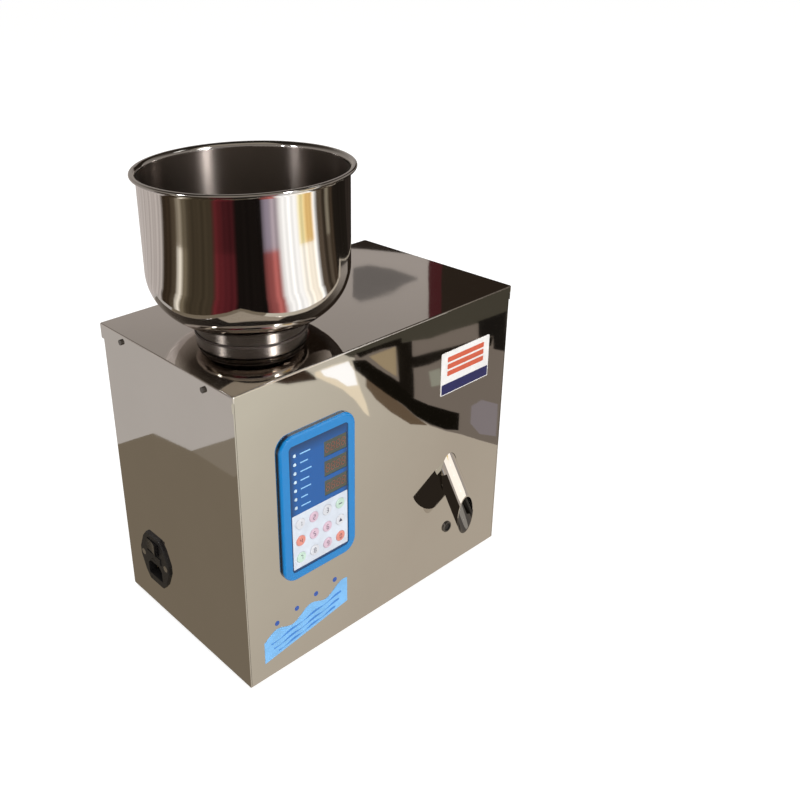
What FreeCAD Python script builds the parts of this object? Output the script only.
import FreeCAD, Part
import math
import os

# A bench-top machine that weighs loose tea and drops each dose into a bag held under its tube.
# X runs to the right along the front, Y to the back, Z up. Lengths are in millimetres.
# The shapes are drawn about the middle of the casing and moved at the end, so that the part's
# origin is the middle of its outer box, on the surface that the feet stand on.

V = FreeCAD.Vector
LEFT = V(-1, 0, 0)
RIGHT = V(1, 0, 0)
FRONT = V(0, -1, 0)
BACK = V(0, 1, 0)
DOWN = V(0, 0, -1)
UP = V(0, 0, 1)

# Cuts run this far past a face
past = 1.0

# Casing
cover_width = 350.0
cover_depth = 210.0
casing_height = 305.0
foot_height = 4.0
sheet = 1.2
pan_sheet = 1.5
sheet_gap = 0.3
cover_skirt = 15.0
cover_lip = 6.0
cover_corner = 2.0
return_depth = 12.0
return_clear = 2.0
bottom_return = 15.0
top_return = 10.0
pan_wall = 12.0

# Fasteners and feet
screw_radius = 1.5
screw_hole_gap = 0.15
screw_head_radius = 2.7
screw_head_height = 1.8
thread_end = 1.0
cover_screw_pitch = 131.0
cover_screw_drop = 7.5
cover_screw_length = 9.0
base_screw_inset = 8.0
foot_radius = 9.0
foot_taper = 1.0
foot_inset = 30.0
foot_stem_radius = 3.0
foot_barb_radius = 4.4
foot_barb_height = 5.0

# Hopper
hopper_to_tube = 167.4
bowl_radius = 92.8
bowl_wall = 1.0
bowl_bend = 50.0
bowl_height = 138.5
rim_radius = 98.3
lip_height = 3.4
flare_height = 6.0
flare_mid_reach = 0.3
flare_mid_height = 0.62
lip_undercut = 1.2
lip_underside = 2.4
lip_flat = 1.6
inner_flare_reach = 1.1
inner_flare_drop = 1.5
inner_flare_less = 1.0
neck_radius = 52.0
neck_height = 10.0
neck_wall = 2.5
neck_foot_width = 10.0
neck_foot_thickness = 2.0
throat_radius = 28.5
throat_wall = 1.5
throat_gap = 3.0
gasket_thickness = 1.0
gasket_margin = 1.0
bowl_screw_ring = 36.5
neck_screw_ring = 46.5
hopper_screw_count = 4
nut_height = 2.4
nut_across = 5.5

# Feeder
trough_drop = 43.8
trough_behind = 38.1
trough_to_taper = 39.9
trough_short_of_tube = 11.0
trough_width = 66.0
trough_height = 30.0
trough_sheet = 1.2
outlet_width = 30.0
outlet_inset = 66.5
throat_to_floor = 8.8
spring_tilt = 20.0
spring_from_hopper = 11.9
spring_pitch = 84.0
spring_thickness = 1.5
spring_length = 68.0
feeder_width = 40.0
spring_foot_rise = 6.0
base_height = 24.0
clamp_thickness = 4.0
clamp_height = 14.0
low_clamp_at = 10.0
high_clamp_at = 57.0
bolt_radius = 2.5
bolt_gap = 0.05
bolt_head_radius = 4.2
bolt_head_height = 3.5
bolt_grip = 8.0
bolt_spread = 11.0
bolt_end_gap = 1.0
bolt_cut = 20.0
carrier_plate = 4.0
carrier_lug = 10.0
carrier_height = 24.0
carrier_to_springs = 68.0
core_to_spring = 44.0
core_depth = 24.0
core_width = 32.0
core_height = 32.0
core_limb = 6.0
core_middle = 10.0
core_back = 7.0
coil_gap = 0.35
coil_side = 5.0
coil_length = 15.0
armature_gap = 2.5
armature_thickness = 4.0
armature_flange = 18.0
armature_flange_sheet = 3.0
armature_clear = 4.0
mount_radius = 7.0
mount_height = 12.0
mount_waist = 1.2
mount_reach_x = 29.0
mount_reach_y = 12.0
bracket_sheet = 2.0
bracket_width = 60.0
bracket_behind = 12.0
bracket_ahead = 10.0
bracket_foot = 18.0
foot_screw_inset = 9.0
bracket_bend = 3.0

# Weigher
tube_inset = 80.0
bucket_length = 54.0
bucket_sheet = 1.0
bucket_ahead = 23.0
bucket_behind = 25.0
bucket_throat_behind = 4.0
bucket_slope_height = 31.0
bucket_height = 49.0
bucket_drop = 8.0
hinge_behind = 9.0
hinge_drop = 1.0
flap_sheet = 1.2
flap_gap = 0.4
flap_side_gap = 0.5
flap_overhang = 2.0
flap_lip = 3.0
pin_radius = 1.5
pin_gap = 0.05
pin_end = 2.0
knuckle_radius = 3.0
ear_radius = 5.0
ear_web_rise = 8.0
lever_angle = 8.8
lever_length = 33.0
lever_width = 7.0
lever_thickness = 1.5
lever_gap = 1.5
crank_offset_y = 15.31
crank_offset_z = -3.42
crank_radius = 16.14
crank_start = 2.7
crank_thickness = 3.5
crank_width = 10.0
roller_radius = 3.6
roller_length = 3.0
crank_side_gap = 0.6
roller_gap = 0.2
shaft_radius = 3.0
shaft_gap = 0.5
shaft_in_motor = 1.0
motor_well = 3.0
motor_radius = 16.0
motor_length = 30.0
motor_chamfer = 1.5
motor_plate_gap = 4.0
motor_bracket_width = 46.0
motor_bracket_rise = 22.0
motor_bracket_corner = 1.0
motor_rib_height = 60.0
motor_rib = 8.0
motor_foot = 20.0
cell_length = 80.0
cell_side = 12.7
cell_hole_radius = 4.6
cell_hole_pitch = 9.0
cell_reach = 57.0
cell_behind_bucket = 14.0
cell_gap_below_trough = 29.3
cell_end = 20.0
post_sheet = 2.0
post_foot = 18.0
post_web = 8.0
post_screw_inset = 5.0
hanger_width = 14.0
hanger_sheet = 2.0
hanger_tab = 14.0
hanger_inset = 2.0

# Discharge
tube_slope = 58.0
tube_radius = 12.2
tube_wall = 1.0
tube_reach = 24.5
tube_meets_panel = 123.3
tube_hole_gap = 0.4
sleeve_gap = 0.2
sleeve_wall = 1.0
sleeve_length = 5.0
funnel_sheet = 1.0
funnel_below_bucket = 11.0
funnel_upper_height = 22.0
funnel_lower_height = 14.0
funnel_ahead = 16.0
funnel_behind = 10.0
funnel_narrowing = 26.0
funnel_length = 58.0
funnel_rim = 6.0
funnel_rim_sheet = 1.5
strap_width = 22.0
strap_drop = 20.0
tube_flange_margin = 9.0
tube_flange_sheet = 2.0
tube_flange_corner = 8.0
sensor_z = 56.0
sensor_radius = 4.6
sensor_length = 34.0
sensor_lens_radius = 3.8
sensor_lens_depth = 0.8
sensor_ring_radius = 6.2
sensor_ring_height = 1.8
sensor_ring_chamfer = 0.6
sensor_nut_height = 4.0
sensor_nut_radius = 7.5
sensor_gap = 0.1

# Controller
panel_inset = 86.0
panel_z = 176.3
bezel_width = 88.2
bezel_height = 151.2
bezel_depth = 4.5
bezel_corner = 15.0
bezel_edge = 2.5
bezel_border = 9.4
recess_corner = 4.0
recess_depth = 1.5
floor_thickness = 2.5
skirt_depth = 8.0
skirt_wall = 1.6
window_gap = 0.3
membrane_thickness = 1.2
fit_gap = 0.2
display_u = 19.4
display_top = 48.2
display_pitch = 20.3
display_count = 3
display_width = 27.0
display_height = 15.5
display_recess = 0.3
led_u = -28.0
led_top = 55.6
led_pitch = 8.9
led_count = 7
led_radius = 1.8
led_proud = 0.6
led_chamfer = 0.9
keypad_u = 0.0
keypad_v = -34.2
keypad_width = 66.4
keypad_height = 58.0
keypad_corner = 1.0
key_columns = 4
key_rows = 3
key_radius = 5.3
key_pitch_u = 16.0
key_pitch_v = 18.2
key_proud = 0.7
key_chamfer = 0.5
key_flange_radius = 6.3
key_flange = 0.8
key_flange_gap = 0.05
key_stem_radius = 2.2
key_switch_gap = 0.65
switch_side = 6.0
switch_height = 2.0
board_thickness = 1.6
board_front = 4.5
board_margin = 1.0
board_corner = 3.0
spacer_radius = 2.5
spacer_u = 16.0
spacer_v = 60.0

# Mains inlet
inlet_y = 48.3
inlet_z = 64.7
inlet_half_width = 25.8
inlet_half_height = 29.5
inlet_shoulder = 19.0
inlet_shoulder_z = 21.0
inlet_top = 12.0
inlet_ear = 5.0
inlet_flange = 2.6
inlet_corner = 2.5
inlet_chamfer = 0.8
inlet_body_width = 28.4
inlet_body_height = 49.0
inlet_body_depth = 28.0
cutout_gap = 0.3
rocker_v = 16.5
rocker_width = 18.6
rocker_height = 12.8
rocker_gap = 0.6
rocker_well_side_gap = 1.2
rocker_well_depth = 12.0
rocker_proud = 2.6
rocker_dip = 1.2
rocker_pivot_depth = 3.0
rocker_body_depth = 6.0
rocker_foot_inset = 1.0
rocker_tilt = 8.0
trunnion_radius = 1.2
trunnion_length = 0.6
drawer_v = 3.5
drawer_width = 24.6
drawer_height = 7.8
drawer_length = 20.0
drawer_proud = 0.8
drawer_slot_depth = 23.0
drawer_notch = 4.0
drawer_notch_height = 1.5
drawer_wall = 2.0
drawer_floor = 1.2
drawer_face = 3.0
socket_v = -12.8
socket_width = 24.5
socket_height = 17.0
socket_depth = 16.0
socket_chamfer = 4.5
pin_width = 2.0
pin_height = 4.0
pin_reach = 12.0
pin_tail = 6.0
pin_spread = 7.0
pin_rise = 2.0
inlet_screw_spread = 20.0
inlet_screw_radius = 1.75
inlet_screw_head = 3.4
inlet_screw_sink = 1.8
inlet_screw_length = 12.0

# Electrics
power_inset = 38.5
power_width = 100.0
power_depth = 46.0
power_behind = 6.0
power_rise = 8.0
power_post_inset = 5.0
transformer_inset = 12.0
transformer_side = 34.0
transformer_height = 28.0
transformer_corner = 2.0
capacitor_inset = 38.0
capacitor_spread = 9.0
capacitor_radius = 7.0
capacitor_height = 22.0
heat_sink_inset = 12.0
heat_sink_width = 12.0
heat_sink_depth = 30.0
heat_sink_height = 12.0

# Worked out from the sizes above
body_width = cover_width - 2 * (sheet + sheet_gap)
body_depth = cover_depth - 2 * (sheet + sheet_gap)
half_width = body_width / 2
half_depth = body_depth / 2
front_y = -half_depth
inner_x = half_width - sheet
inner_back = half_depth - sheet
inner_front = front_y + sheet
far = cover_width + cover_depth + casing_height
floor_z = foot_height + sheet
pan_top = floor_z + pan_sheet
cover_top = foot_height + casing_height
cover_under = cover_top - sheet
screw_hole = screw_radius + screw_hole_gap
tube_x = half_width - tube_inset
hopper_x = tube_x - hopper_to_tube
panel_x = panel_inset - half_width
power_left = power_inset - half_width
power_back = inner_back - power_behind
power_front = power_back - power_depth
bowl_bottom = cover_top + gasket_thickness + neck_height
rim_z = bowl_bottom + bowl_height
throat_outer = throat_radius + throat_wall
trough_floor = cover_under - trough_drop
throat_bottom = trough_floor + trough_sheet + throat_to_floor
trough_left = hopper_x - trough_behind
trough_taper = hopper_x + trough_to_taper
trough_right = tube_x - trough_short_of_tube
outlet_y = front_y + outlet_inset
rear_spring_x = hopper_x + spring_from_hopper
front_spring_x = rear_spring_x + spring_pitch
core_right = front_spring_x - core_to_spring
bracket_left = rear_spring_x - bracket_behind
bracket_right = front_spring_x + bracket_ahead
tilt = math.radians(spring_tilt)
carrier_bottom = trough_floor - carrier_height
spring_z = trough_floor - carrier_to_springs
base_bottom = spring_z - spring_foot_rise
base_top = base_bottom + base_height
bracket_top = base_bottom - mount_height
core_top = base_top + core_height
bucket_top = trough_floor - bucket_drop
bucket_bottom = bucket_top - bucket_height
bucket_front = outlet_y - bucket_ahead
bucket_back = outlet_y + bucket_behind
bucket_throat_back = outlet_y + bucket_throat_behind
flap_hinge_y = outlet_y + hinge_behind
hinge_z = bucket_bottom - hinge_drop
crank_y = flap_hinge_y + crank_offset_y
crank_z = hinge_z + crank_offset_z
bucket_left = tube_x - bucket_length / 2
bucket_right = tube_x + bucket_length / 2
cell_left = tube_x - cell_reach
cell_front = bucket_back + cell_behind_bucket
cell_top = trough_floor - cell_gap_below_trough
cell_bottom = cell_top - cell_side
funnel_top = bucket_bottom - funnel_below_bucket
funnel_bend = funnel_top - funnel_upper_height
tube_inner_top = funnel_bend - funnel_lower_height
funnel_front = bucket_front - funnel_ahead
funnel_back = flap_hinge_y + funnel_behind
funnel_low_back = funnel_back - funnel_narrowing
slope = math.radians(tube_slope)
tube_past = 2.5 * tube_radius
tube_axis = V(0, -math.cos(slope), -math.sin(slope))
inlet_face = -half_width
bezel_front = front_y - bezel_depth
recess_y = bezel_front + recess_depth
floor_back = recess_y + floor_thickness
board_y = front_y + board_front


def box(x0, x1, y0, y1, z0, z1):
    return Part.makeBox(x1 - x0, y1 - y0, z1 - z0, V(x0, y0, z0))


def cylinder(radius, start, direction, length):
    return Part.makeCylinder(radius, length, start, direction)


def parallel_edges(shape, direction):
    found = []
    for edge in shape.Edges:
        if len(edge.Vertexes) != 2:
            continue
        run = edge.Vertexes[1].Point.sub(edge.Vertexes[0].Point)
        if run.Length > 0 and abs(abs(run.dot(direction)) - run.Length) < 1e-6:
            found.append(edge)
    return found


def rounded(x0, x1, y0, y1, z0, z1, radius, direction):
    block = box(x0, x1, y0, y1, z0, z1)
    return block.makeFillet(radius, parallel_edges(block, direction))


def prism(points, direction):
    wire = Part.makePolygon(points + [points[0]])
    return Part.Face(wire).extrude(direction)


def prism_along_y(points, y0, y1):
    return prism([V(x, y0, z) for x, z in points], V(0, y1 - y0, 0))


def prism_along_x(points, x0, x1):
    return prism([V(x0, y, z) for y, z in points], V(x1 - x0, 0, 0))


def turned(points, x, y):
    wire = Part.makePolygon([V(x + r, y, z) for r, z in points + [points[0]]])
    return Part.Face(wire).revolve(V(x, y, 0), UP, 360)


def around(x, y, ring, count, offset_degrees):
    spots = []
    for k in range(count):
        angle = math.radians(offset_degrees + 360.0 * k / count)
        spots.append((x + ring * math.cos(angle), y + ring * math.sin(angle)))
    return spots


def cut_all(shape, tools):
    for tool in tools:
        shape = shape.cut(tool)
    return shape


def screw(start, direction, length):
    """Pan head screw: start is the middle of the face that the head bears on."""
    shank = cylinder(screw_radius, start, direction, length)
    head = cylinder(screw_head_radius, start, direction * -1, screw_head_height)
    return head.fuse(shank)


def hex_nut(centre, direction, height, across, hole):
    points = []
    side = V(1, 0, 0) if abs(direction.z) > 0.5 else V(0, 0, 1)
    other = direction.cross(side)
    for k in range(6):
        angle = math.radians(60 * k + 30)
        reach = across / 2 / math.cos(math.radians(30))
        points.append(centre + side * (reach * math.cos(angle)) + other * (reach * math.sin(angle)))
    nut = prism(points, direction * height)
    return nut.cut(cylinder(hole, centre, direction, height))


# Middle of the outer box. On the left the rocker's raised edge reaches furthest, or the bowl's
# rim on a narrow case, on the right the heads of the cover screws, in front the tube's mouth
# and behind the cover's skirt.
rocker_lift = (rocker_width / 2) * math.sin(math.radians(rocker_tilt))
rocker_reach = (rocker_proud + rocker_pivot_depth) * math.cos(math.radians(rocker_tilt)) - rocker_pivot_depth
left_reach = max(half_width + inlet_flange + rocker_reach + rocker_lift, rim_radius - hopper_x)
right_reach = cover_width / 2 + screw_head_height
front_reach = half_depth + tube_reach
back_reach = max(cover_depth / 2, rim_radius)
origin_x = (right_reach - left_reach) / 2
origin_y = (back_reach - front_reach) / 2


def save(name, *solids):
    shape = solids[0] if len(solids) == 1 else Part.makeCompound(list(solids))
    for solid in shape.Solids:
        if not solid.isValid():
            raise ValueError(name + " has a solid that is not valid")
    if not shape.Solids:
        raise ValueError(name + " has no solid")
    shape = shape.copy()
    shape.translate(V(-origin_x, -origin_y, 0))
    shape.exportStep("parts/" + name + ".step")


def foot_spots():
    reach_x = half_width - foot_inset
    reach_y = half_depth - foot_inset
    return [(sx * reach_x, sy * reach_y) for sx in (-1, 1) for sy in (-1, 1)]


def base_screw_spots():
    side = half_width - base_screw_inset
    end = half_depth - base_screw_inset
    spots = [(sx * side, y) for sx in (-1, 1) for y in (-body_depth / 5, body_depth / 5)]
    spots += [(sx * body_width / 4, sy * end) for sx in (-1, 1) for sy in (-1, 1)]
    return spots


def bracket_screw_spots():
    """Screws that hold the inner brackets down: x, y and the height of the foot's top."""
    foot_top = pan_top + bracket_sheet
    left = bracket_left + bracket_sheet + bracket_foot / 2
    right = bracket_right - bracket_sheet - bracket_foot / 2
    side = bracket_width / 2 - foot_screw_inset
    spots = [(x, sy * side, foot_top) for x in (left, right) for sy in (-1, 1)]
    post_y = cell_front + cell_side + post_sheet + post_foot / 2
    for x in (cell_left + post_screw_inset, cell_left + cell_end - post_screw_inset):
        spots.append((x, post_y, pan_top + post_sheet))
    motor_x = motor_plate_x() + bracket_sheet + motor_foot / 2
    side = motor_bracket_width / 2 - foot_screw_inset
    for sy in (-1, 1):
        spots.append((motor_x, crank_y + sy * side, foot_top))
    return spots


def power_post_spots():
    inset = power_post_inset
    return [(x, y) for x in (power_left + inset, power_left + power_width - inset)
            for y in (power_front + inset, power_back - inset)]


def crank_arm_x():
    return bucket_right + bucket_sheet + lever_gap + roller_length + crank_side_gap


def motor_plate_x():
    return crank_arm_x() + crank_thickness + motor_plate_gap


def make_rubber_feet():
    feet = []
    stem_top = pan_top + foot_barb_height
    profile = [
        (0, 0), (foot_radius, 0), (foot_radius - foot_taper, floor_z), (foot_stem_radius, floor_z),
        (foot_stem_radius, pan_top), (foot_barb_radius, pan_top),
        (foot_stem_radius - foot_taper, stem_top), (0, stem_top),
    ]
    for x, y in foot_spots():
        feet.append(turned(profile, x, y))
    save("rubber_feet", *feet)


def make_base_pan():
    gap = sheet_gap
    x1 = inner_x - gap
    y0 = inner_front + gap
    y1 = inner_back - gap
    pan = box(-x1, x1, y0, y1, floor_z, pan_top)
    wall_top = pan_top + pan_wall
    side_front = inner_front + return_depth + return_clear
    for sx in (-1, 1):
        xs = sorted((sx * x1, sx * (x1 - pan_sheet)))
        pan = pan.fuse(box(xs[0], xs[1], side_front, y1, floor_z, wall_top))
    pan = pan.fuse(box(-x1, x1, y1 - pan_sheet, y1, floor_z, wall_top))
    tools = []
    for x, y in foot_spots():
        tools.append(cylinder(foot_stem_radius, V(x, y, 0), UP, wall_top))
    for x, y in base_screw_spots():
        tools.append(cylinder(screw_hole, V(x, y, 0), UP, wall_top))
    for x, y, z in bracket_screw_spots():
        tools.append(cylinder(screw_hole, V(x, y, 0), UP, wall_top))
    for x, y in power_post_spots():
        tools.append(cylinder(screw_hole, V(x, y, 0), UP, wall_top))
    pan = cut_all(pan.removeSplitter(), tools)
    save("base_pan", pan)


def make_body_wrap():
    outer = box(-half_width, half_width, front_y, half_depth, foot_height, cover_under)
    inner = box(-inner_x, inner_x, front_y - past, inner_back, foot_height - past, cover_under + past)
    wrap = outer.cut(inner)
    flange_front = inner_front + bottom_return + sheet_gap
    for sx in (-1, 1):
        xs = sorted((sx * inner_x, sx * (inner_x - bottom_return)))
        wrap = wrap.fuse(box(xs[0], xs[1], flange_front, inner_back, foot_height, floor_z))
    wrap = wrap.fuse(box(-inner_x, inner_x, inner_back - bottom_return, inner_back, foot_height, floor_z))
    wrap = wrap.removeSplitter()
    corners = [e for e in parallel_edges(wrap, UP) if e.Vertexes[0].Point.y > half_depth - 0.01]
    wrap = wrap.makeFillet(cover_corner, corners)
    tools = []
    for x, y in base_screw_spots():
        tools.append(cylinder(screw_hole, V(x, y, 0), UP, floor_z + past))
    for y in (-cover_screw_pitch / 2, cover_screw_pitch / 2):
        z = cover_top - cover_screw_drop
        tools.append(cylinder(screw_hole, V(-half_width - past, y, z), RIGHT, body_width + 2 * past))
    half_w = inlet_body_width / 2 + cutout_gap
    half_h = inlet_body_height / 2 + cutout_gap
    tools.append(box(-half_width - past, -inner_x + past, inlet_y - half_w, inlet_y + half_w,
                     inlet_z - half_h, inlet_z + half_h))
    for side in (-1, 1):
        start = V(-half_width - past, inlet_y + side * inlet_screw_spread, inlet_z)
        tools.append(cylinder(inlet_screw_radius, start, RIGHT, sheet + 2 * past))
    save("body_wrap", cut_all(wrap, tools))


def slanted_cylinder(radius, y_front, y_back):
    """Cylinder on the tube's axis, between two distances from the front, cut later by planes."""
    start_run = (front_y - y_back) / math.cos(slope)
    length = (y_back - y_front) / math.cos(slope)
    start = V(tube_x, front_y, tube_meets_panel) + tube_axis * start_run
    return cylinder(radius, start, tube_axis, length)


def controller_window(extra):
    half_w = bezel_width / 2 - bezel_border + extra
    half_h = bezel_height / 2 - bezel_border + extra
    return rounded(panel_x - half_w, panel_x + half_w, front_y - past, front_y + skirt_depth + past,
                   panel_z - half_h, panel_z + half_h, recess_corner, BACK)


def make_front_panel():
    x1 = inner_x - sheet_gap
    panel = box(-x1, x1, front_y, inner_front, foot_height, cover_under)
    back = front_y + return_depth
    for sx in (-1, 1):
        xs = sorted((sx * x1, sx * (x1 - sheet)))
        panel = panel.fuse(box(xs[0], xs[1], front_y, back, pan_top + sheet_gap, cover_under))
    panel = panel.fuse(box(-x1, x1, front_y, inner_front + bottom_return, foot_height, floor_z))
    panel = panel.fuse(box(-x1, x1, front_y, inner_front + top_return, cover_under - sheet, cover_under))
    panel = panel.removeSplitter()
    tools = [controller_window(0.0)]
    tools.append(slanted_cylinder(tube_radius + tube_hole_gap, front_y - tube_past, front_y + tube_past))
    start = V(tube_x, front_y - past, sensor_z)
    tools.append(cylinder(sensor_radius + sensor_gap, start, BACK, sheet + 2 * past))
    for x, y in base_screw_spots():
        tools.append(cylinder(screw_hole, V(x, y, 0), UP, floor_z + past))
    save("front_panel", cut_all(panel, tools))


def make_top_cover():
    x1 = cover_width / 2
    y1 = cover_depth / 2
    shell = box(-x1, x1, -y1, y1, cover_top - cover_skirt, cover_top)
    round_edges = parallel_edges(shell, UP)
    shell = shell.makeFillet(cover_corner, round_edges)
    top_edges = [e for e in shell.Edges
                 if all(abs(v.Point.z - cover_top) < 1e-6 for v in e.Vertexes)]
    shell = shell.makeFillet(sheet, top_edges)
    below = cover_top - cover_skirt - past
    inner = box(-x1 + sheet, x1 - sheet, -y1 + sheet, y1 - sheet, below, cover_under)
    shell = shell.cut(inner)
    front_cut = box(-x1 - past, x1 + past, -y1 - past, -y1 + sheet, below, cover_top - cover_lip)
    shell = shell.cut(front_cut)
    tools = [cylinder(throat_outer + throat_gap, V(hopper_x, 0, cover_under - past), UP, sheet + 2 * past)]
    for x, y in around(hopper_x, 0, neck_screw_ring, hopper_screw_count, 0):
        tools.append(cylinder(screw_hole, V(x, y, cover_under - past), UP, sheet + 2 * past))
    for y in (-cover_screw_pitch / 2, cover_screw_pitch / 2):
        z = cover_top - cover_screw_drop
        tools.append(cylinder(screw_hole, V(-x1 - past, y, z), RIGHT, cover_width + 2 * past))
    save("top_cover", cut_all(shell, tools))


def make_casing_screws():
    z = cover_top - cover_screw_drop
    screws = []
    for y in (-cover_screw_pitch / 2, cover_screw_pitch / 2):
        screws.append(screw(V(-cover_width / 2, y, z), RIGHT, cover_screw_length))
        screws.append(screw(V(cover_width / 2, y, z), LEFT, cover_screw_length))
    save("cover_screws", *screws)
    screws = []
    for x, y in base_screw_spots():
        screws.append(screw(V(x, y, foot_height), UP, sheet + pan_sheet + nut_height))
    for x, y, z in bracket_screw_spots():
        screws.append(screw(V(x, y, z), DOWN, z - foot_height))
    save("chassis_screws", *screws)


def make_hopper_bowl():
    inside = bowl_radius - bowl_wall
    bend_r = bowl_radius - bowl_bend
    z0 = bowl_bottom
    z1 = z0 + bowl_bend
    turn = math.radians(45)
    outer_mid = (bend_r + bowl_bend * math.sin(turn), z1 - bowl_bend * math.cos(turn))
    inner_bend = bowl_bend - bowl_wall
    inner_mid = (bend_r + inner_bend * math.sin(turn), z1 - inner_bend * math.cos(turn))
    lip_r = rim_radius - lip_height / 2

    def at(r, z):
        return V(hopper_x + r, 0, z)

    def line(a, b):
        return Part.LineSegment(at(*a), at(*b)).toShape()

    def arc(a, b, c):
        return Part.Arc(at(*a), at(*b), at(*c)).toShape()

    flare_r = bowl_radius + (lip_r - bowl_radius) * flare_mid_reach
    inner_flare_z = rim_z - flare_height + inner_flare_less
    edges = [
        line((throat_radius, z0), (bend_r, z0)),
        arc((bend_r, z0), outer_mid, (bowl_radius, z1)),
        line((bowl_radius, z1), (bowl_radius, rim_z - flare_height)),
        arc((bowl_radius, rim_z - flare_height), (flare_r, rim_z - flare_height * flare_mid_height),
            (lip_r - lip_undercut, rim_z - lip_underside)),
        line((lip_r - lip_undercut, rim_z - lip_underside), (lip_r, rim_z - lip_height)),
        arc((lip_r, rim_z - lip_height), (rim_radius, rim_z - lip_height / 2), (lip_r, rim_z)),
        line((lip_r, rim_z), (lip_r - lip_flat, rim_z)),
        arc((lip_r - lip_flat, rim_z), (inside + inner_flare_reach, rim_z - inner_flare_drop),
            (inside, inner_flare_z)),
        line((inside, inner_flare_z), (inside, z1)),
        arc((inside, z1), inner_mid, (bend_r, z0 + bowl_wall)),
        line((bend_r, z0 + bowl_wall), (throat_radius, z0 + bowl_wall)),
        line((throat_radius, z0 + bowl_wall), (throat_radius, z0)),
    ]
    bowl = Part.Face(Part.Wire(edges)).revolve(V(hopper_x, 0, 0), UP, 360)
    holes = [cylinder(screw_hole, V(x, y, z0 - past), UP, bowl_wall + 2 * past)
             for x, y in around(hopper_x, 0, bowl_screw_ring, hopper_screw_count, 45)]
    save("hopper_bowl", cut_all(bowl, holes))


def make_hopper_neck():
    bottom = cover_top + gasket_thickness
    top = bowl_bottom
    skirt_in = neck_radius - neck_wall
    foot_in = neck_radius - neck_foot_width
    profile = [
        (throat_radius, throat_bottom), (throat_outer, throat_bottom),
        (throat_outer, top - neck_wall), (skirt_in, top - neck_wall),
        (skirt_in, bottom + neck_foot_thickness), (foot_in, bottom + neck_foot_thickness),
        (foot_in, bottom), (neck_radius, bottom), (neck_radius, top), (throat_radius, top),
    ]
    neck = turned(profile, hopper_x, 0)
    tools = [cylinder(screw_hole, V(x, y, top - neck_wall - past), UP, neck_wall + 2 * past)
             for x, y in around(hopper_x, 0, bowl_screw_ring, hopper_screw_count, 45)]
    tools += [cylinder(screw_hole, V(x, y, bottom - past), UP, neck_foot_thickness + 2 * past)
              for x, y in around(hopper_x, 0, neck_screw_ring, hopper_screw_count, 0)]
    save("hopper_neck", cut_all(neck, tools))
    outer = neck_radius + gasket_margin
    gasket = cylinder(outer, V(hopper_x, 0, cover_top), UP, gasket_thickness)
    gasket = gasket.cut(cylinder(foot_in, V(hopper_x, 0, cover_top - past), UP, gasket_thickness + 2 * past))
    tools = [cylinder(screw_hole, V(x, y, cover_top - past), UP, gasket_thickness + 2 * past)
             for x, y in around(hopper_x, 0, neck_screw_ring, hopper_screw_count, 0)]
    save("neck_gasket", cut_all(gasket, tools))
    fasteners = []
    grip = neck_wall + bowl_wall
    for x, y in around(hopper_x, 0, bowl_screw_ring, hopper_screw_count, 45):
        fasteners.append(screw(V(x, y, top + bowl_wall), DOWN, grip + nut_height + thread_end))
        fasteners.append(hex_nut(V(x, y, top - neck_wall), DOWN, nut_height, nut_across, screw_hole))
    grip = sheet + gasket_thickness + neck_foot_thickness
    for x, y in around(hopper_x, 0, neck_screw_ring, hopper_screw_count, 0):
        fasteners.append(screw(V(x, y, cover_under), UP, grip + thread_end))
    save("hopper_screws", *fasteners)


def trough_outline(inset, right):
    """Plan of the trough: wide under the throat, then tapered forward to its outlet."""
    half = trough_width / 2 - inset
    run = trough_right - trough_taper
    front_drop = (outlet_y - outlet_width / 2 + trough_width / 2) / run
    back_drop = (outlet_y + outlet_width / 2 - trough_width / 2) / run
    reach = right - trough_taper
    front_inset = inset * math.hypot(1, front_drop)
    back_inset = inset * math.hypot(1, back_drop)
    return [
        (trough_left + inset, -half), (trough_taper, -trough_width / 2 + front_inset),
        (right, -trough_width / 2 + front_drop * reach + front_inset),
        (right, trough_width / 2 + back_drop * reach - back_inset),
        (trough_taper, trough_width / 2 - back_inset), (trough_left + inset, half),
    ]


def make_feed_trough():
    outer = prism([V(x, y, trough_floor) for x, y in trough_outline(0, trough_right)],
                  UP * trough_height)
    inner_floor = trough_floor + trough_sheet
    inner = prism([V(x, y, inner_floor) for x, y in trough_outline(trough_sheet, trough_right + past)],
                  UP * trough_height)
    save("feed_trough", outer.cut(inner))


def on_spring(x, w, z):
    """X of a line that leans with the springs, w in front of the spring's back face."""
    return x + w / math.cos(tilt) - (z - spring_z) * math.tan(tilt)


def lean(shape, x):
    shape.rotate(V(x, 0, spring_z), BACK, -spring_tilt)
    return shape


def spring_bolt_tools(x, radius, at, start, length):
    tools = []
    for sy in (-1, 1):
        tool = cylinder(radius, V(x + start, sy * bolt_spread, spring_z + at), RIGHT, length)
        tools.append(lean(tool, x))
    return tools


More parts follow.
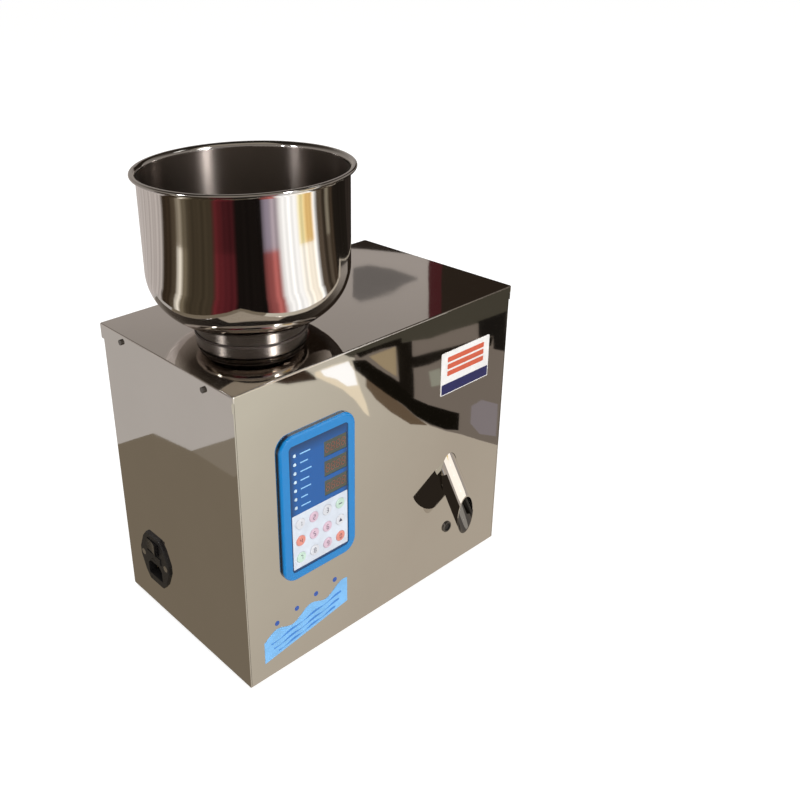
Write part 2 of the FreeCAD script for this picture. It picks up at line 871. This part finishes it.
def make_springs_and_clamps():
    hole = bolt_radius + bolt_gap
    half = feeder_width / 2
    springs = []
    for x in (rear_spring_x, front_spring_x):
        leaf = lean(box(x, x + spring_thickness, -half, half, spring_z, spring_z + spring_length), x)
        for at in (low_clamp_at, high_clamp_at):
            leaf = cut_all(leaf, spring_bolt_tools(x, hole, at, -bolt_cut, 2 * bolt_cut))
        springs.append(leaf)
    save("leaf_springs", *springs)
    for name, at in (("lower_spring_clamps", low_clamp_at), ("upper_spring_clamps", high_clamp_at)):
        pieces = []
        z0 = spring_z + at - clamp_height / 2
        z1 = spring_z + at + clamp_height / 2
        for x, back in ((rear_spring_x, True), (front_spring_x, False)):
            x0 = x - clamp_thickness if back else x + spring_thickness
            clamp = lean(box(x0, x0 + clamp_thickness, -half, half, z0, z1), x)
            clamp = cut_all(clamp, spring_bolt_tools(x, hole, at, -bolt_cut, 2 * bolt_cut))
            pieces.append(clamp)
            reach = clamp_thickness + spring_thickness + bolt_grip
            for sy in (-1, 1):
                outer = x0 if back else x0 + clamp_thickness
                way = RIGHT if back else LEFT
                start = V(outer, sy * bolt_spread, spring_z + at)
                bolt = cylinder(bolt_radius, start, way, reach)
                bolt = bolt.fuse(cylinder(bolt_head_radius, start, way * -1, bolt_head_height))
                pieces.append(lean(bolt, x))
        save(name, *pieces)


def make_drive_base():
    half = feeder_width / 2
    points = [
        (on_spring(rear_spring_x, spring_thickness, base_bottom), base_bottom),
        (on_spring(front_spring_x, 0, base_bottom), base_bottom),
        (on_spring(front_spring_x, 0, base_top), base_top),
        (on_spring(rear_spring_x, spring_thickness, base_top), base_top),
    ]
    base = prism_along_y(points, -half, half)
    hole = bolt_radius + bolt_gap
    grip = bolt_grip + spring_thickness + bolt_end_gap
    base = cut_all(base, spring_bolt_tools(rear_spring_x, hole, low_clamp_at, -past, grip + past))
    base = cut_all(base, spring_bolt_tools(front_spring_x, hole, low_clamp_at, -grip, grip + past))
    save("drive_base", base)


def make_trough_carrier():
    half = feeder_width / 2
    under = trough_floor - carrier_plate
    lug = spring_thickness + carrier_lug
    points = [
        (on_spring(rear_spring_x, spring_thickness, trough_floor), trough_floor),
        (on_spring(front_spring_x, 0, trough_floor), trough_floor),
        (on_spring(front_spring_x, 0, carrier_bottom), carrier_bottom),
        (on_spring(front_spring_x, -carrier_lug, carrier_bottom), carrier_bottom),
        (on_spring(front_spring_x, -carrier_lug, under), under),
        (on_spring(rear_spring_x, lug, under), under),
        (on_spring(rear_spring_x, lug, carrier_bottom), carrier_bottom),
        (on_spring(rear_spring_x, spring_thickness, carrier_bottom), carrier_bottom),
    ]
    carrier = prism_along_y(points, -half, half)
    hole = bolt_radius + bolt_gap
    grip = bolt_grip + spring_thickness + bolt_end_gap
    carrier = cut_all(carrier, spring_bolt_tools(rear_spring_x, hole, high_clamp_at, -past, grip + past))
    carrier = cut_all(carrier, spring_bolt_tools(front_spring_x, hole, high_clamp_at, -grip, grip + past))
    save("trough_carrier", carrier)


def make_magnet():
    x1 = core_right
    x0 = x1 - core_depth
    half = core_width / 2
    z0 = base_top
    middle = z0 + core_height / 2
    core = box(x0, x1, -half, half, z0, core_top)
    slot_x = x0 + core_back
    low_slot = box(slot_x, x1 + past, -half - past, half + past, z0 + core_limb, middle - core_middle / 2)
    high_slot = box(slot_x, x1 + past, -half - past, half + past, middle + core_middle / 2,
                    core_top - core_limb)
    save("magnet_core", core.cut(low_slot).cut(high_slot))
    coil_z = core_height / 2 - core_limb - coil_gap
    coil_y = half + coil_side
    coil_x = slot_x + coil_gap
    coil = rounded(coil_x, coil_x + coil_length, -coil_y, coil_y, middle - coil_z, middle + coil_z,
                   coil_side / 2, RIGHT)
    hole_y = half + coil_gap
    hole_z = core_middle / 2 + coil_gap
    coil = coil.cut(box(coil_x - past, coil_x + coil_length + past, -hole_y, hole_y,
                        middle - hole_z, middle + hole_z))
    save("magnet_coil", coil)
    face = core_right + armature_gap
    back = face + armature_thickness
    under = trough_floor - carrier_plate
    plate = box(face, back, -half, half, base_top + armature_clear, under)
    flange = box(back - armature_flange, back, -half, half, under - armature_flange_sheet, under)
    save("armature_plate", plate.fuse(flange).removeSplitter())


def make_feeder_bracket():
    half = bracket_width / 2
    s = bracket_sheet
    outline = box(bracket_left, bracket_right, -half, half, pan_top, bracket_top)
    outline = outline.makeFillet(bracket_bend, [
        e for e in parallel_edges(outline, BACK) if e.Vertexes[0].Point.z > bracket_top - 0.01])
    hollow = box(bracket_left + s, bracket_right - s, -half - past, half + past,
                 pan_top - past, bracket_top - s)
    bracket = outline.cut(hollow)
    left_end = bracket_left + s + bracket_foot
    right_end = bracket_right - s - bracket_foot
    bracket = bracket.fuse(box(bracket_left, left_end, -half, half, pan_top, pan_top + s))
    bracket = bracket.fuse(box(right_end, bracket_right, -half, half, pan_top, pan_top + s))
    tools = []
    for x, y, z in bracket_screw_spots():
        tools.append(cylinder(screw_hole, V(x, y, pan_top - past), UP, s + 2 * past))
    save("feeder_bracket", cut_all(bracket.removeSplitter(), tools))
    centre_x = (on_spring(rear_spring_x, 0, base_bottom) + on_spring(front_spring_x, 0, base_bottom)) / 2
    mounts = []
    waist = mount_radius - mount_waist
    middle = bracket_top + mount_height / 2
    for sx in (-1, 1):
        for sy in (-1, 1):
            profile = [(0, bracket_top), (mount_radius, bracket_top), (waist, middle),
                       (mount_radius, base_bottom), (0, base_bottom)]
            mounts.append(turned(profile, centre_x + sx * mount_reach_x, sy * mount_reach_y))
    save("rubber_mounts", *mounts)


def make_load_cell():
    x1 = cell_left + cell_length
    y1 = cell_front + cell_side
    cell = box(cell_left, x1, cell_front, y1, cell_bottom, cell_top)
    middle_x = (cell_left + x1) / 2
    middle_z = (cell_bottom + cell_top) / 2
    for sx in (-1, 1):
        start = V(middle_x + sx * cell_hole_pitch / 2, cell_front - past, middle_z)
        cell = cell.cut(cylinder(cell_hole_radius, start, BACK, cell_side + 2 * past))
    save("load_cell", cell)
    s = post_sheet
    back = cell_front + cell_side + s
    post_right = cell_left + cell_end
    post = box(cell_left, post_right, back - s, back, pan_top, cell_bottom)
    post = post.fuse(box(cell_left, post_right, cell_front, back, cell_bottom - s, cell_bottom))
    post = post.fuse(box(cell_left, post_right, back - s, back + post_foot, pan_top, pan_top + s))
    for x in (cell_left, post_right - s):
        web = [(back - s, pan_top), (back - s - post_web, pan_top), (cell_front, cell_bottom - s),
               (back - s, cell_bottom - s)]
        post = post.fuse(prism_along_x(web, x, x + s))
    tools = []
    for x, y, z in bracket_screw_spots():
        tools.append(cylinder(screw_hole, V(x, y, pan_top - past), UP, s + 2 * past))
    save("load_cell_post", cut_all(post.removeSplitter(), tools))
    hanger_x1 = x1 - hanger_inset
    hanger_x0 = hanger_x1 - hanger_width
    wall = bucket_back + bucket_sheet
    plate = box(hanger_x0, hanger_x1, wall, y1, cell_top, cell_top + hanger_sheet)
    tab_top = cell_top + hanger_sheet + hanger_tab
    tab = box(hanger_x0, hanger_x1, wall, wall + hanger_sheet, cell_top, tab_top)
    save("bucket_hanger", plate.fuse(tab).removeSplitter())


def make_weigh_bucket():
    s = bucket_sheet
    slope_top = bucket_bottom + bucket_slope_height
    outer_points = [
        (bucket_front - s, bucket_bottom), (bucket_throat_back + s, bucket_bottom),
        (bucket_back + s, slope_top), (bucket_back + s, bucket_top), (bucket_front - s, bucket_top),
    ]
    run = (bucket_back - bucket_throat_back) / bucket_slope_height
    inner_points = [
        (bucket_front, bucket_bottom - past), (bucket_throat_back - run, bucket_bottom - past),
        (bucket_back, slope_top), (bucket_back, bucket_top + past), (bucket_front, bucket_top + past),
    ]
    bucket = prism_along_x(outer_points, bucket_left - s, bucket_right + s)
    for x0 in (bucket_left - s, bucket_right):
        ear = cylinder(ear_radius, V(x0, flap_hinge_y, hinge_z), RIGHT, s)
        web_back = flap_hinge_y + ear_radius
        web = prism_along_x([(bucket_throat_back, bucket_bottom), (flap_hinge_y - ear_radius, hinge_z),
                             (web_back, hinge_z), (web_back, bucket_bottom + ear_web_rise)], x0, x0 + s)
        bucket = bucket.fuse(ear).fuse(web)
    bucket = bucket.cut(prism_along_x(inner_points, bucket_left, bucket_right))
    axle = cylinder(pin_radius + pin_gap, V(bucket_left - ear_radius, flap_hinge_y, hinge_z), RIGHT,
                    bucket_length + 2 * ear_radius)
    save("weigh_bucket", bucket.cut(axle).removeSplitter())


def make_bucket_flap():
    x0 = bucket_left + flap_side_gap
    x1 = bucket_right - flap_side_gap
    top = bucket_bottom - flap_gap
    tip = bucket_front - bucket_sheet - flap_overhang
    plate = box(x0, x1, tip, flap_hinge_y, top - flap_sheet, top)
    plate = plate.fuse(box(x0, x1, tip, tip + flap_sheet, top - flap_lip - flap_sheet, top))
    knuckle = cylinder(knuckle_radius, V(x0, flap_hinge_y, hinge_z), RIGHT, x1 - x0)
    flap = plate.fuse(knuckle)
    flap = flap.cut(cylinder(pin_radius, V(x0 - past, flap_hinge_y, hinge_z), RIGHT, x1 - x0 + 2 * past))
    save("bucket_flap", flap.removeSplitter())
    lever_x = bucket_right + bucket_sheet + lever_gap
    pin_left = bucket_left - bucket_sheet - pin_end
    pin = cylinder(pin_radius, V(pin_left, flap_hinge_y, hinge_z), RIGHT, lever_x - pin_left)
    half = lever_width / 2
    bar = box(lever_x, lever_x + lever_thickness, flap_hinge_y, flap_hinge_y + lever_length,
              hinge_z - half, hinge_z + half)
    bar = bar.fuse(cylinder(half, V(lever_x, flap_hinge_y, hinge_z), RIGHT, lever_thickness))
    tip_y = flap_hinge_y + lever_length
    bar = bar.fuse(cylinder(half, V(lever_x, tip_y, hinge_z), RIGHT, lever_thickness))
    bar.rotate(V(0, flap_hinge_y, hinge_z), RIGHT, lever_angle)
    save("flap_shaft", pin.fuse(bar).removeSplitter())


def make_gate_drive():
    arm_x = crank_arm_x()
    angle = math.radians(crank_start)
    tip = V(arm_x, crank_y + crank_radius * math.cos(angle), crank_z + crank_radius * math.sin(angle))
    half = crank_width / 2
    arm = box(arm_x, arm_x + crank_thickness, crank_y, crank_y + crank_radius, crank_z - half, crank_z + half)
    arm.rotate(V(arm_x, crank_y, crank_z), RIGHT, crank_start)
    arm = arm.fuse(cylinder(half, V(arm_x, crank_y, crank_z), RIGHT, crank_thickness))
    arm = arm.fuse(cylinder(half, tip, RIGHT, crank_thickness))
    arm = arm.fuse(cylinder(roller_radius, tip, LEFT, roller_length + crank_side_gap - roller_gap))
    stub_length = motor_plate_x() + bracket_sheet - arm_x + shaft_in_motor
    arm = arm.fuse(cylinder(shaft_radius, V(arm_x, crank_y, crank_z), RIGHT, stub_length))
    save("gate_crank", arm.removeSplitter())
    plate_x = motor_plate_x()
    s = bracket_sheet
    motor_x = plate_x + s
    motor = cylinder(motor_radius, V(motor_x, crank_y, crank_z), RIGHT, motor_length)
    end_edges = [e for e in motor.Edges if e.BoundBox.XMin > motor_x + motor_length - 0.1]
    motor = motor.makeChamfer(motor_chamfer, end_edges)
    well = shaft_radius + shaft_gap
    motor = motor.cut(cylinder(well, V(motor_x - past, crank_y, crank_z), RIGHT, motor_well + past))
    save("gate_motor", motor)
    half_w = motor_bracket_width / 2
    y0 = crank_y - half_w
    y1 = crank_y + half_w
    top = crank_z + motor_bracket_rise
    plate = rounded(plate_x, motor_x, y0, y1, pan_top, top, motor_bracket_corner, RIGHT)
    plate = plate.fuse(box(plate_x, motor_x + motor_foot, y0, y1, pan_top, pan_top + s))
    for y in (y0, y1 - s):
        plate = plate.fuse(box(motor_x, motor_x + motor_rib, y, y + s, pan_top, pan_top + motor_rib_height))
    plate = plate.cut(cylinder(well, V(plate_x - past, crank_y, crank_z), RIGHT, s + 2 * past))
    tools = []
    for x, y, z in bracket_screw_spots():
        tools.append(cylinder(screw_hole, V(x, y, pan_top - past), UP, s + 2 * past))
    save("motor_bracket", cut_all(plate.removeSplitter(), tools))


def level_ellipse(radius, z):
    """Section of a slanted round tube at one height."""
    y = front_y + (z - tube_meets_panel) / math.tan(slope)
    ellipse = Part.Ellipse(V(tube_x, y, z), radius / math.sin(slope), radius)
    shape = ellipse.toShape()
    shape.rotate(V(tube_x, y, z), UP, 90)
    return Part.Wire([shape])


def funnel_body(wall, sleeve):
    """Solid inside the funnel, or inside its outer surface when wall is the sheet's thickness."""
    drop = funnel_top - funnel_bend
    slant_wall = wall * math.hypot(1, (funnel_back - funnel_low_back) / drop)
    x0 = tube_x - funnel_length / 2 - wall
    x1 = tube_x + funnel_length / 2 + wall
    y0 = funnel_front - wall
    low_back = funnel_low_back + slant_wall
    side = [(y0, funnel_top), (funnel_back + slant_wall, funnel_top), (low_back, funnel_bend),
            (y0, funnel_bend)]
    upper = prism_along_x(side, x0, x1)
    z = funnel_bend
    square = Part.makePolygon([V(x0, y0, z), V(x1, y0, z), V(x1, low_back, z), V(x0, low_back, z),
                               V(x0, y0, z)])
    lower = Part.makeLoft([level_ellipse(sleeve, tube_inner_top), square], True, True)
    return upper.fuse(lower)


def between_levels(shape, low, high):
    return shape.common(box(-far, far, -far, far, low, high))


def make_funnel_and_tube():
    sleeve_in = tube_radius + sleeve_gap
    sleeve_out = sleeve_in + sleeve_wall
    funnel = funnel_body(funnel_sheet, sleeve_out).cut(funnel_body(0, sleeve_in))
    long_back = front_y + (funnel_top - tube_meets_panel) / math.tan(slope)
    sleeve = slanted_cylinder(sleeve_out, front_y, long_back)
    sleeve = sleeve.cut(slanted_cylinder(sleeve_in, front_y - past, long_back + past))
    sleeve = between_levels(sleeve, tube_inner_top - sleeve_length, tube_inner_top)
    funnel = funnel.fuse(sleeve)
    rim_x = funnel_length / 2 + funnel_rim
    rim = box(tube_x - rim_x, tube_x + rim_x, funnel_front - funnel_rim, funnel_back + funnel_rim,
              funnel_top - funnel_rim_sheet, funnel_top)
    hole = box(tube_x - funnel_length / 2, tube_x + funnel_length / 2, funnel_front, funnel_back,
               funnel_top - funnel_rim_sheet - past, funnel_top + past)
    funnel = funnel.fuse(rim.cut(hole))
    x0 = tube_x - strap_width / 2
    x1 = tube_x + strap_width / 2
    strap_back = funnel_front - funnel_rim / 2
    strap = box(x0, x1, inner_front, strap_back, funnel_top - funnel_rim_sheet, funnel_top)
    tab_back = inner_front + funnel_rim_sheet
    strap = strap.fuse(box(x0, x1, inner_front, tab_back, funnel_top - strap_drop, funnel_top))
    save("guide_funnel", funnel.fuse(strap).removeSplitter())
    mouth = front_y - tube_reach
    tube_back = front_y + (tube_inner_top - tube_meets_panel) / math.tan(slope) + tube_past
    tube = slanted_cylinder(tube_radius, mouth - tube_past, tube_back)
    tube = tube.cut(slanted_cylinder(tube_radius - tube_wall, mouth - tube_past - past, tube_back + past))
    tube = tube.common(box(-far, far, mouth, far, 0, tube_inner_top))
    save("discharge_tube", tube)
    half_x = tube_radius + tube_flange_margin
    half_z = tube_radius / math.cos(slope) + tube_flange_margin
    y0 = inner_front
    y1 = inner_front + tube_flange_sheet
    middle = tube_meets_panel + (y0 - front_y) * math.tan(slope)
    flange = rounded(tube_x - half_x, tube_x + half_x, y0, y1, middle - half_z, middle + half_z,
                     tube_flange_corner, BACK)
    flange = flange.cut(slanted_cylinder(tube_radius, front_y - tube_past, front_y + tube_past))
    save("tube_flange", flange)


def make_sensor():
    front = front_y - sensor_ring_height
    body = cylinder(sensor_radius, V(tube_x, front, sensor_z), BACK, sensor_length)
    dish = cylinder(sensor_lens_radius, V(tube_x, front - past, sensor_z), BACK, past + sensor_lens_depth)
    save("bag_sensor", body.cut(dish))
    bore = sensor_radius + sensor_gap
    ring = cylinder(sensor_ring_radius, V(tube_x, front, sensor_z), BACK, sensor_ring_height)
    ring = ring.makeChamfer(sensor_ring_chamfer, [e for e in ring.Edges if e.BoundBox.YMax < front + 0.1])
    ring = ring.cut(cylinder(bore, V(tube_x, front - past, sensor_z), BACK, sensor_ring_height + 2 * past))
    nut = hex_nut(V(tube_x, inner_front, sensor_z), BACK, sensor_nut_height, sensor_nut_radius * 2, bore)
    save("sensor_nuts", ring, nut)


def panel_block(u0, u1, v0, v1, y0, y1):
    return box(panel_x + u0, panel_x + u1, y0, y1, panel_z + v0, panel_z + v1)


def display_centres():
    return [(display_u, display_top - k * display_pitch) for k in range(display_count)]


def led_centres():
    return [(led_u, led_top - k * led_pitch) for k in range(led_count)]


def key_centres():
    spots = []
    for row in range(key_rows):
        for column in range(key_columns):
            u = keypad_u + (column - (key_columns - 1) / 2) * key_pitch_u
            v = keypad_v + ((key_rows - 1) / 2 - row) * key_pitch_v
            spots.append((u, v))
    return spots


def panel_holes(gap):
    """Openings for the displays, lights and keys, through the bezel's floor."""
    tools = []
    y0 = bezel_front - past
    y1 = floor_back + past
    for u, v in display_centres():
        half_w = display_width / 2 + gap
        half_h = display_height / 2 + gap
        tools.append(panel_block(u - half_w, u + half_w, v - half_h, v + half_h, y0, y1))
    for u, v in led_centres():
        tools.append(cylinder(led_radius + gap, V(panel_x + u, y0, panel_z + v), BACK, y1 - y0))
    return tools


def key_holes(gap):
    y0 = bezel_front - past
    return [cylinder(key_radius + gap, V(panel_x + u, y0, panel_z + v), BACK, floor_back + past - y0)
            for u, v in key_centres()]


def make_control_bezel():
    half_w = bezel_width / 2
    half_h = bezel_height / 2
    bezel = rounded(panel_x - half_w, panel_x + half_w, bezel_front, front_y,
                    panel_z - half_h, panel_z + half_h, bezel_corner, BACK)
    front_edges = [e for e in bezel.Edges if e.BoundBox.YMax < bezel_front + 0.01]
    bezel = bezel.makeFillet(bezel_edge, front_edges)
    skirt = controller_window(-window_gap).common(
        box(-far, far, front_y, front_y + skirt_depth, 0, cover_top))
    bezel = bezel.fuse(skirt)
    rec_w = half_w - bezel_border
    rec_h = half_h - bezel_border
    recess = rounded(panel_x - rec_w, panel_x + rec_w, bezel_front - past, recess_y,
                     panel_z - rec_h, panel_z + rec_h, recess_corner, BACK)
    cav_w = rec_w - skirt_wall
    cav_h = rec_h - skirt_wall
    cavity = rounded(panel_x - cav_w, panel_x + cav_w, floor_back, front_y + skirt_depth + past,
                     panel_z - cav_h, panel_z + cav_h, recess_corner - skirt_wall, BACK)
    bezel = bezel.cut(recess).cut(cavity)
    for u, v in spacer_spots():
        start = V(panel_x + u, floor_back - past, panel_z + v)
        bezel = bezel.fuse(cylinder(spacer_radius, start, BACK, board_y - floor_back + past))
    bezel = cut_all(bezel, panel_holes(fit_gap) + key_holes(fit_gap))
    save("control_bezel", bezel)
    face = recess_y - membrane_thickness
    mem_w = rec_w - fit_gap
    mem_h = rec_h - fit_gap
    membrane = rounded(panel_x - mem_w, panel_x + mem_w, face, recess_y,
                       panel_z - mem_h, panel_z + mem_h, recess_corner, BACK)
    pad_w = keypad_width / 2
    pad_h = keypad_height / 2
    gap = fit_gap / 2
    pad_cut = panel_block(keypad_u - pad_w - gap, keypad_u + pad_w + gap,
                          keypad_v - pad_h - gap, keypad_v + pad_h + gap, face - past, recess_y + past)
    membrane = cut_all(membrane.cut(pad_cut), panel_holes(fit_gap))
    save("membrane_panel", membrane)
    pad = rounded(panel_x + keypad_u - pad_w, panel_x + keypad_u + pad_w, face, recess_y,
                  panel_z + keypad_v - pad_h, panel_z + keypad_v + pad_h, keypad_corner, BACK)
    save("keypad_plate", cut_all(pad, key_holes(fit_gap)))


def spacer_spots():
    return [(su * spacer_u, sv * spacer_v) for su in (-1, 1) for sv in (-1, 1)]


def make_control_parts():
    face = recess_y - membrane_thickness + display_recess
    displays = []
    for u, v in display_centres():
        displays.append(panel_block(u - display_width / 2, u + display_width / 2,
                                    v - display_height / 2, v + display_height / 2, face, board_y))
    save("digit_displays", *displays)
    lights = []
    tip = recess_y - membrane_thickness - led_proud
    for u, v in led_centres():
        light = cylinder(led_radius, V(panel_x + u, tip, panel_z + v), BACK, board_y - tip)
        front_edge = [e for e in light.Edges if e.BoundBox.YMax < tip + 0.01]
        lights.append(light.makeChamfer(led_chamfer, front_edge))
    save("indicator_leds", *lights)
    half_w = bezel_width / 2 - bezel_border - skirt_wall - board_margin
    half_h = bezel_height / 2 - bezel_border - skirt_wall - board_margin
    board = rounded(panel_x - half_w, panel_x + half_w, board_y, board_y + board_thickness,
                    panel_z - half_h, panel_z + half_h, board_corner, BACK)
    for u, v in key_centres():
        half = switch_side / 2
        board = board.fuse(panel_block(u - half, u + half, v - half, v + half,
                                       board_y - switch_height, board_y))
    save("control_board", board.removeSplitter())
    cap_front = recess_y - membrane_thickness - key_proud
    flange_front = floor_back + key_flange_gap
    flange_back = flange_front + key_flange
    stem_back = board_y - switch_height - key_switch_gap
    for number, (u, v) in enumerate(key_centres(), 1):
        x = panel_x + u
        z = panel_z + v
        cap = cylinder(key_radius, V(x, cap_front, z), BACK, flange_back - cap_front)
        cap = cap.makeChamfer(key_chamfer, [e for e in cap.Edges if e.BoundBox.YMax < cap_front + 0.01])
        cap = cap.fuse(cylinder(key_flange_radius, V(x, flange_front, z), BACK, key_flange))
        cap = cap.fuse(cylinder(key_stem_radius, V(x, flange_front, z), BACK, stem_back - flange_front))
        save("key_" + str(number), cap.removeSplitter())


def inlet_block(s0, s1, v0, v1, out, depth):
    """Block on the mains inlet: out is how far it stands out of the wall, depth how far in."""
    return box(inlet_face - out, inlet_face + depth, inlet_y + s0, inlet_y + s1, inlet_z + v0, inlet_z + v1)


def pin_spots():
    return [(-pin_spread, socket_v - pin_rise), (pin_spread, socket_v - pin_rise), (0, socket_v + pin_rise)]


def make_inlet():
    w, h = inlet_half_width, inlet_half_height
    a, b = inlet_shoulder, inlet_shoulder_z
    t, e = inlet_top, inlet_ear
    quarter = [(t, h), (a, b), (w, e)]
    right = quarter + [(s, -v) for s, v in reversed(quarter)]
    outline = right + [(-s, v) for s, v in reversed(right)]
    points = [V(inlet_face, inlet_y + s, inlet_z + v) for s, v in outline]
    flange = prism(points, LEFT * inlet_flange)
    flange = flange.makeFillet(inlet_corner, parallel_edges(flange, RIGHT))
    rim = [g for g in flange.Edges if g.BoundBox.XMax < inlet_face - inlet_flange + 0.01]
    flange = flange.makeChamfer(inlet_chamfer, rim)
    body_w = inlet_body_width / 2
    body_h = inlet_body_height / 2
    housing = flange.fuse(inlet_block(-body_w, body_w, -body_h, body_h, 0, inlet_body_depth))
    out = inlet_flange + past
    well_w = rocker_width / 2 + rocker_well_side_gap
    well_h = rocker_height / 2 + rocker_gap
    tools = [inlet_block(-well_w, well_w, rocker_v - well_h, rocker_v + well_h, out, rocker_well_depth)]
    slot_w = drawer_width / 2 + fit_gap
    slot_h = drawer_height / 2 + fit_gap
    tools.append(inlet_block(-slot_w, slot_w, drawer_v - slot_h, drawer_v + slot_h, out, drawer_slot_depth))
    sw = socket_width / 2
    sh = socket_height / 2
    c = socket_chamfer
    recess = [(-sw, -sh), (sw, -sh), (sw, sh - c), (sw - c, sh), (c - sw, sh), (-sw, sh - c)]
    points = [V(inlet_face - out, inlet_y + s, inlet_z + socket_v + v) for s, v in recess]
    tools.append(prism(points, RIGHT * (out + socket_depth)))
    hole_reach = well_h + trunnion_length
    pivot = V(inlet_face + rocker_pivot_depth - inlet_flange, inlet_y, inlet_z + rocker_v - hole_reach)
    hole_length = 2 * hole_reach
    tools.append(cylinder(trunnion_radius + pin_gap, pivot, UP, hole_length))
    pins = []
    for s, v in pin_spots():
        pins.append(inlet_block(s - pin_width / 2, s + pin_width / 2, v - pin_height / 2, v + pin_height / 2,
                                pin_reach - socket_depth, inlet_body_depth + pin_tail))
    tools += pins
    screws = []
    for side in (-1, 1):
        start = V(inlet_face - inlet_flange, inlet_y + side * inlet_screw_spread, inlet_z)
        cone = Part.makeCone(inlet_screw_head, inlet_screw_radius, inlet_screw_sink, start, RIGHT)
        shank = cylinder(inlet_screw_radius, start, RIGHT, inlet_screw_length)
        screws.append(cone.fuse(shank))
    tools += screws
    save("inlet_housing", cut_all(housing, tools))
    save("inlet_pins", *pins)
    save("inlet_screws", *screws)


def make_rocker():
    """Drawn level, then tipped to its off side. Its face is dished."""
    half = rocker_width / 2
    foot = half - rocker_foot_inset
    pivot_x = inlet_face + rocker_pivot_depth - inlet_flange
    outer = inlet_face - inlet_flange - rocker_proud
    inner = inlet_face - inlet_flange + rocker_body_depth
    z0 = inlet_z + rocker_v - rocker_height / 2

    def at(s, x):
        return V(x, inlet_y + s, z0)

    edges = [
        Part.Arc(at(-half, outer), at(0, outer + rocker_dip), at(half, outer)).toShape(),
        Part.LineSegment(at(half, outer), at(foot, inner)).toShape(),
        Part.LineSegment(at(foot, inner), at(-foot, inner)).toShape(),
        Part.LineSegment(at(-foot, inner), at(-half, outer)).toShape(),
    ]
    rocker = Part.Face(Part.Wire(edges)).extrude(UP * rocker_height)
    reach = rocker_gap + trunnion_length
    start = V(pivot_x, inlet_y, z0 - reach)
    rocker = rocker.fuse(cylinder(trunnion_radius, start, UP, rocker_height + 2 * reach))
    rocker.rotate(V(pivot_x, inlet_y, 0), UP, -rocker_tilt)
    save("rocker_switch", rocker)


def make_fuse_drawer():
    half_w = drawer_width / 2
    half_h = drawer_height / 2
    out = inlet_flange + drawer_proud
    drawer = inlet_block(-half_w, half_w, drawer_v - half_h, drawer_v + half_h, out, drawer_length - out)
    low = drawer_v - half_h
    notch = inlet_block(-drawer_notch, drawer_notch, low - past, low + drawer_notch_height, out + past, past)
    wall_w = half_w - drawer_wall
    pocket = inlet_block(-wall_w, wall_w, low + drawer_floor, drawer_v + half_h + past, -drawer_face,
                         drawer_length - out - drawer_wall)
    save("fuse_drawer", drawer.cut(notch).cut(pocket))


def make_power_board():
    x1 = power_left + power_width
    middle = (power_front + power_back) / 2
    z0 = pan_top + power_rise
    top = z0 + board_thickness
    board = box(power_left, x1, power_front, power_back, z0, top)
    side = transformer_side / 2
    right = x1 - transformer_inset
    board = board.fuse(rounded(right - transformer_side, right, middle - side, middle + side, top,
                               top + transformer_height, transformer_corner, UP))
    for sy in (-1, 1):
        start = V(power_left + capacitor_inset, middle + sy * capacitor_spread, top)
        board = board.fuse(cylinder(capacitor_radius, start, UP, capacitor_height))
    sink_x = power_left + heat_sink_inset
    sink_y = heat_sink_depth / 2
    board = board.fuse(box(sink_x, sink_x + heat_sink_width, middle - sink_y, middle + sink_y, top,
                           top + heat_sink_height))
    for x, y in power_post_spots():
        board = board.fuse(cylinder(screw_head_radius, V(x, y, pan_top), UP, power_rise))
        board = board.fuse(cylinder(screw_radius, V(x, y, floor_z), UP, pan_sheet + past))
    save("power_board", board.removeSplitter())


def main():
    os.makedirs("parts", exist_ok=True)
    make_rubber_feet()
    make_base_pan()
    make_body_wrap()
    make_front_panel()
    make_top_cover()
    make_casing_screws()
    make_hopper_bowl()
    make_hopper_neck()
    make_feed_trough()
    make_springs_and_clamps()
    make_drive_base()
    make_trough_carrier()
    make_magnet()
    make_feeder_bracket()
    make_load_cell()
    make_weigh_bucket()
    make_bucket_flap()
    make_gate_drive()
    make_funnel_and_tube()
    make_sensor()
    make_control_bezel()
    make_control_parts()
    make_inlet()
    make_rocker()
    make_fuse_drawer()
    make_power_board()


main()
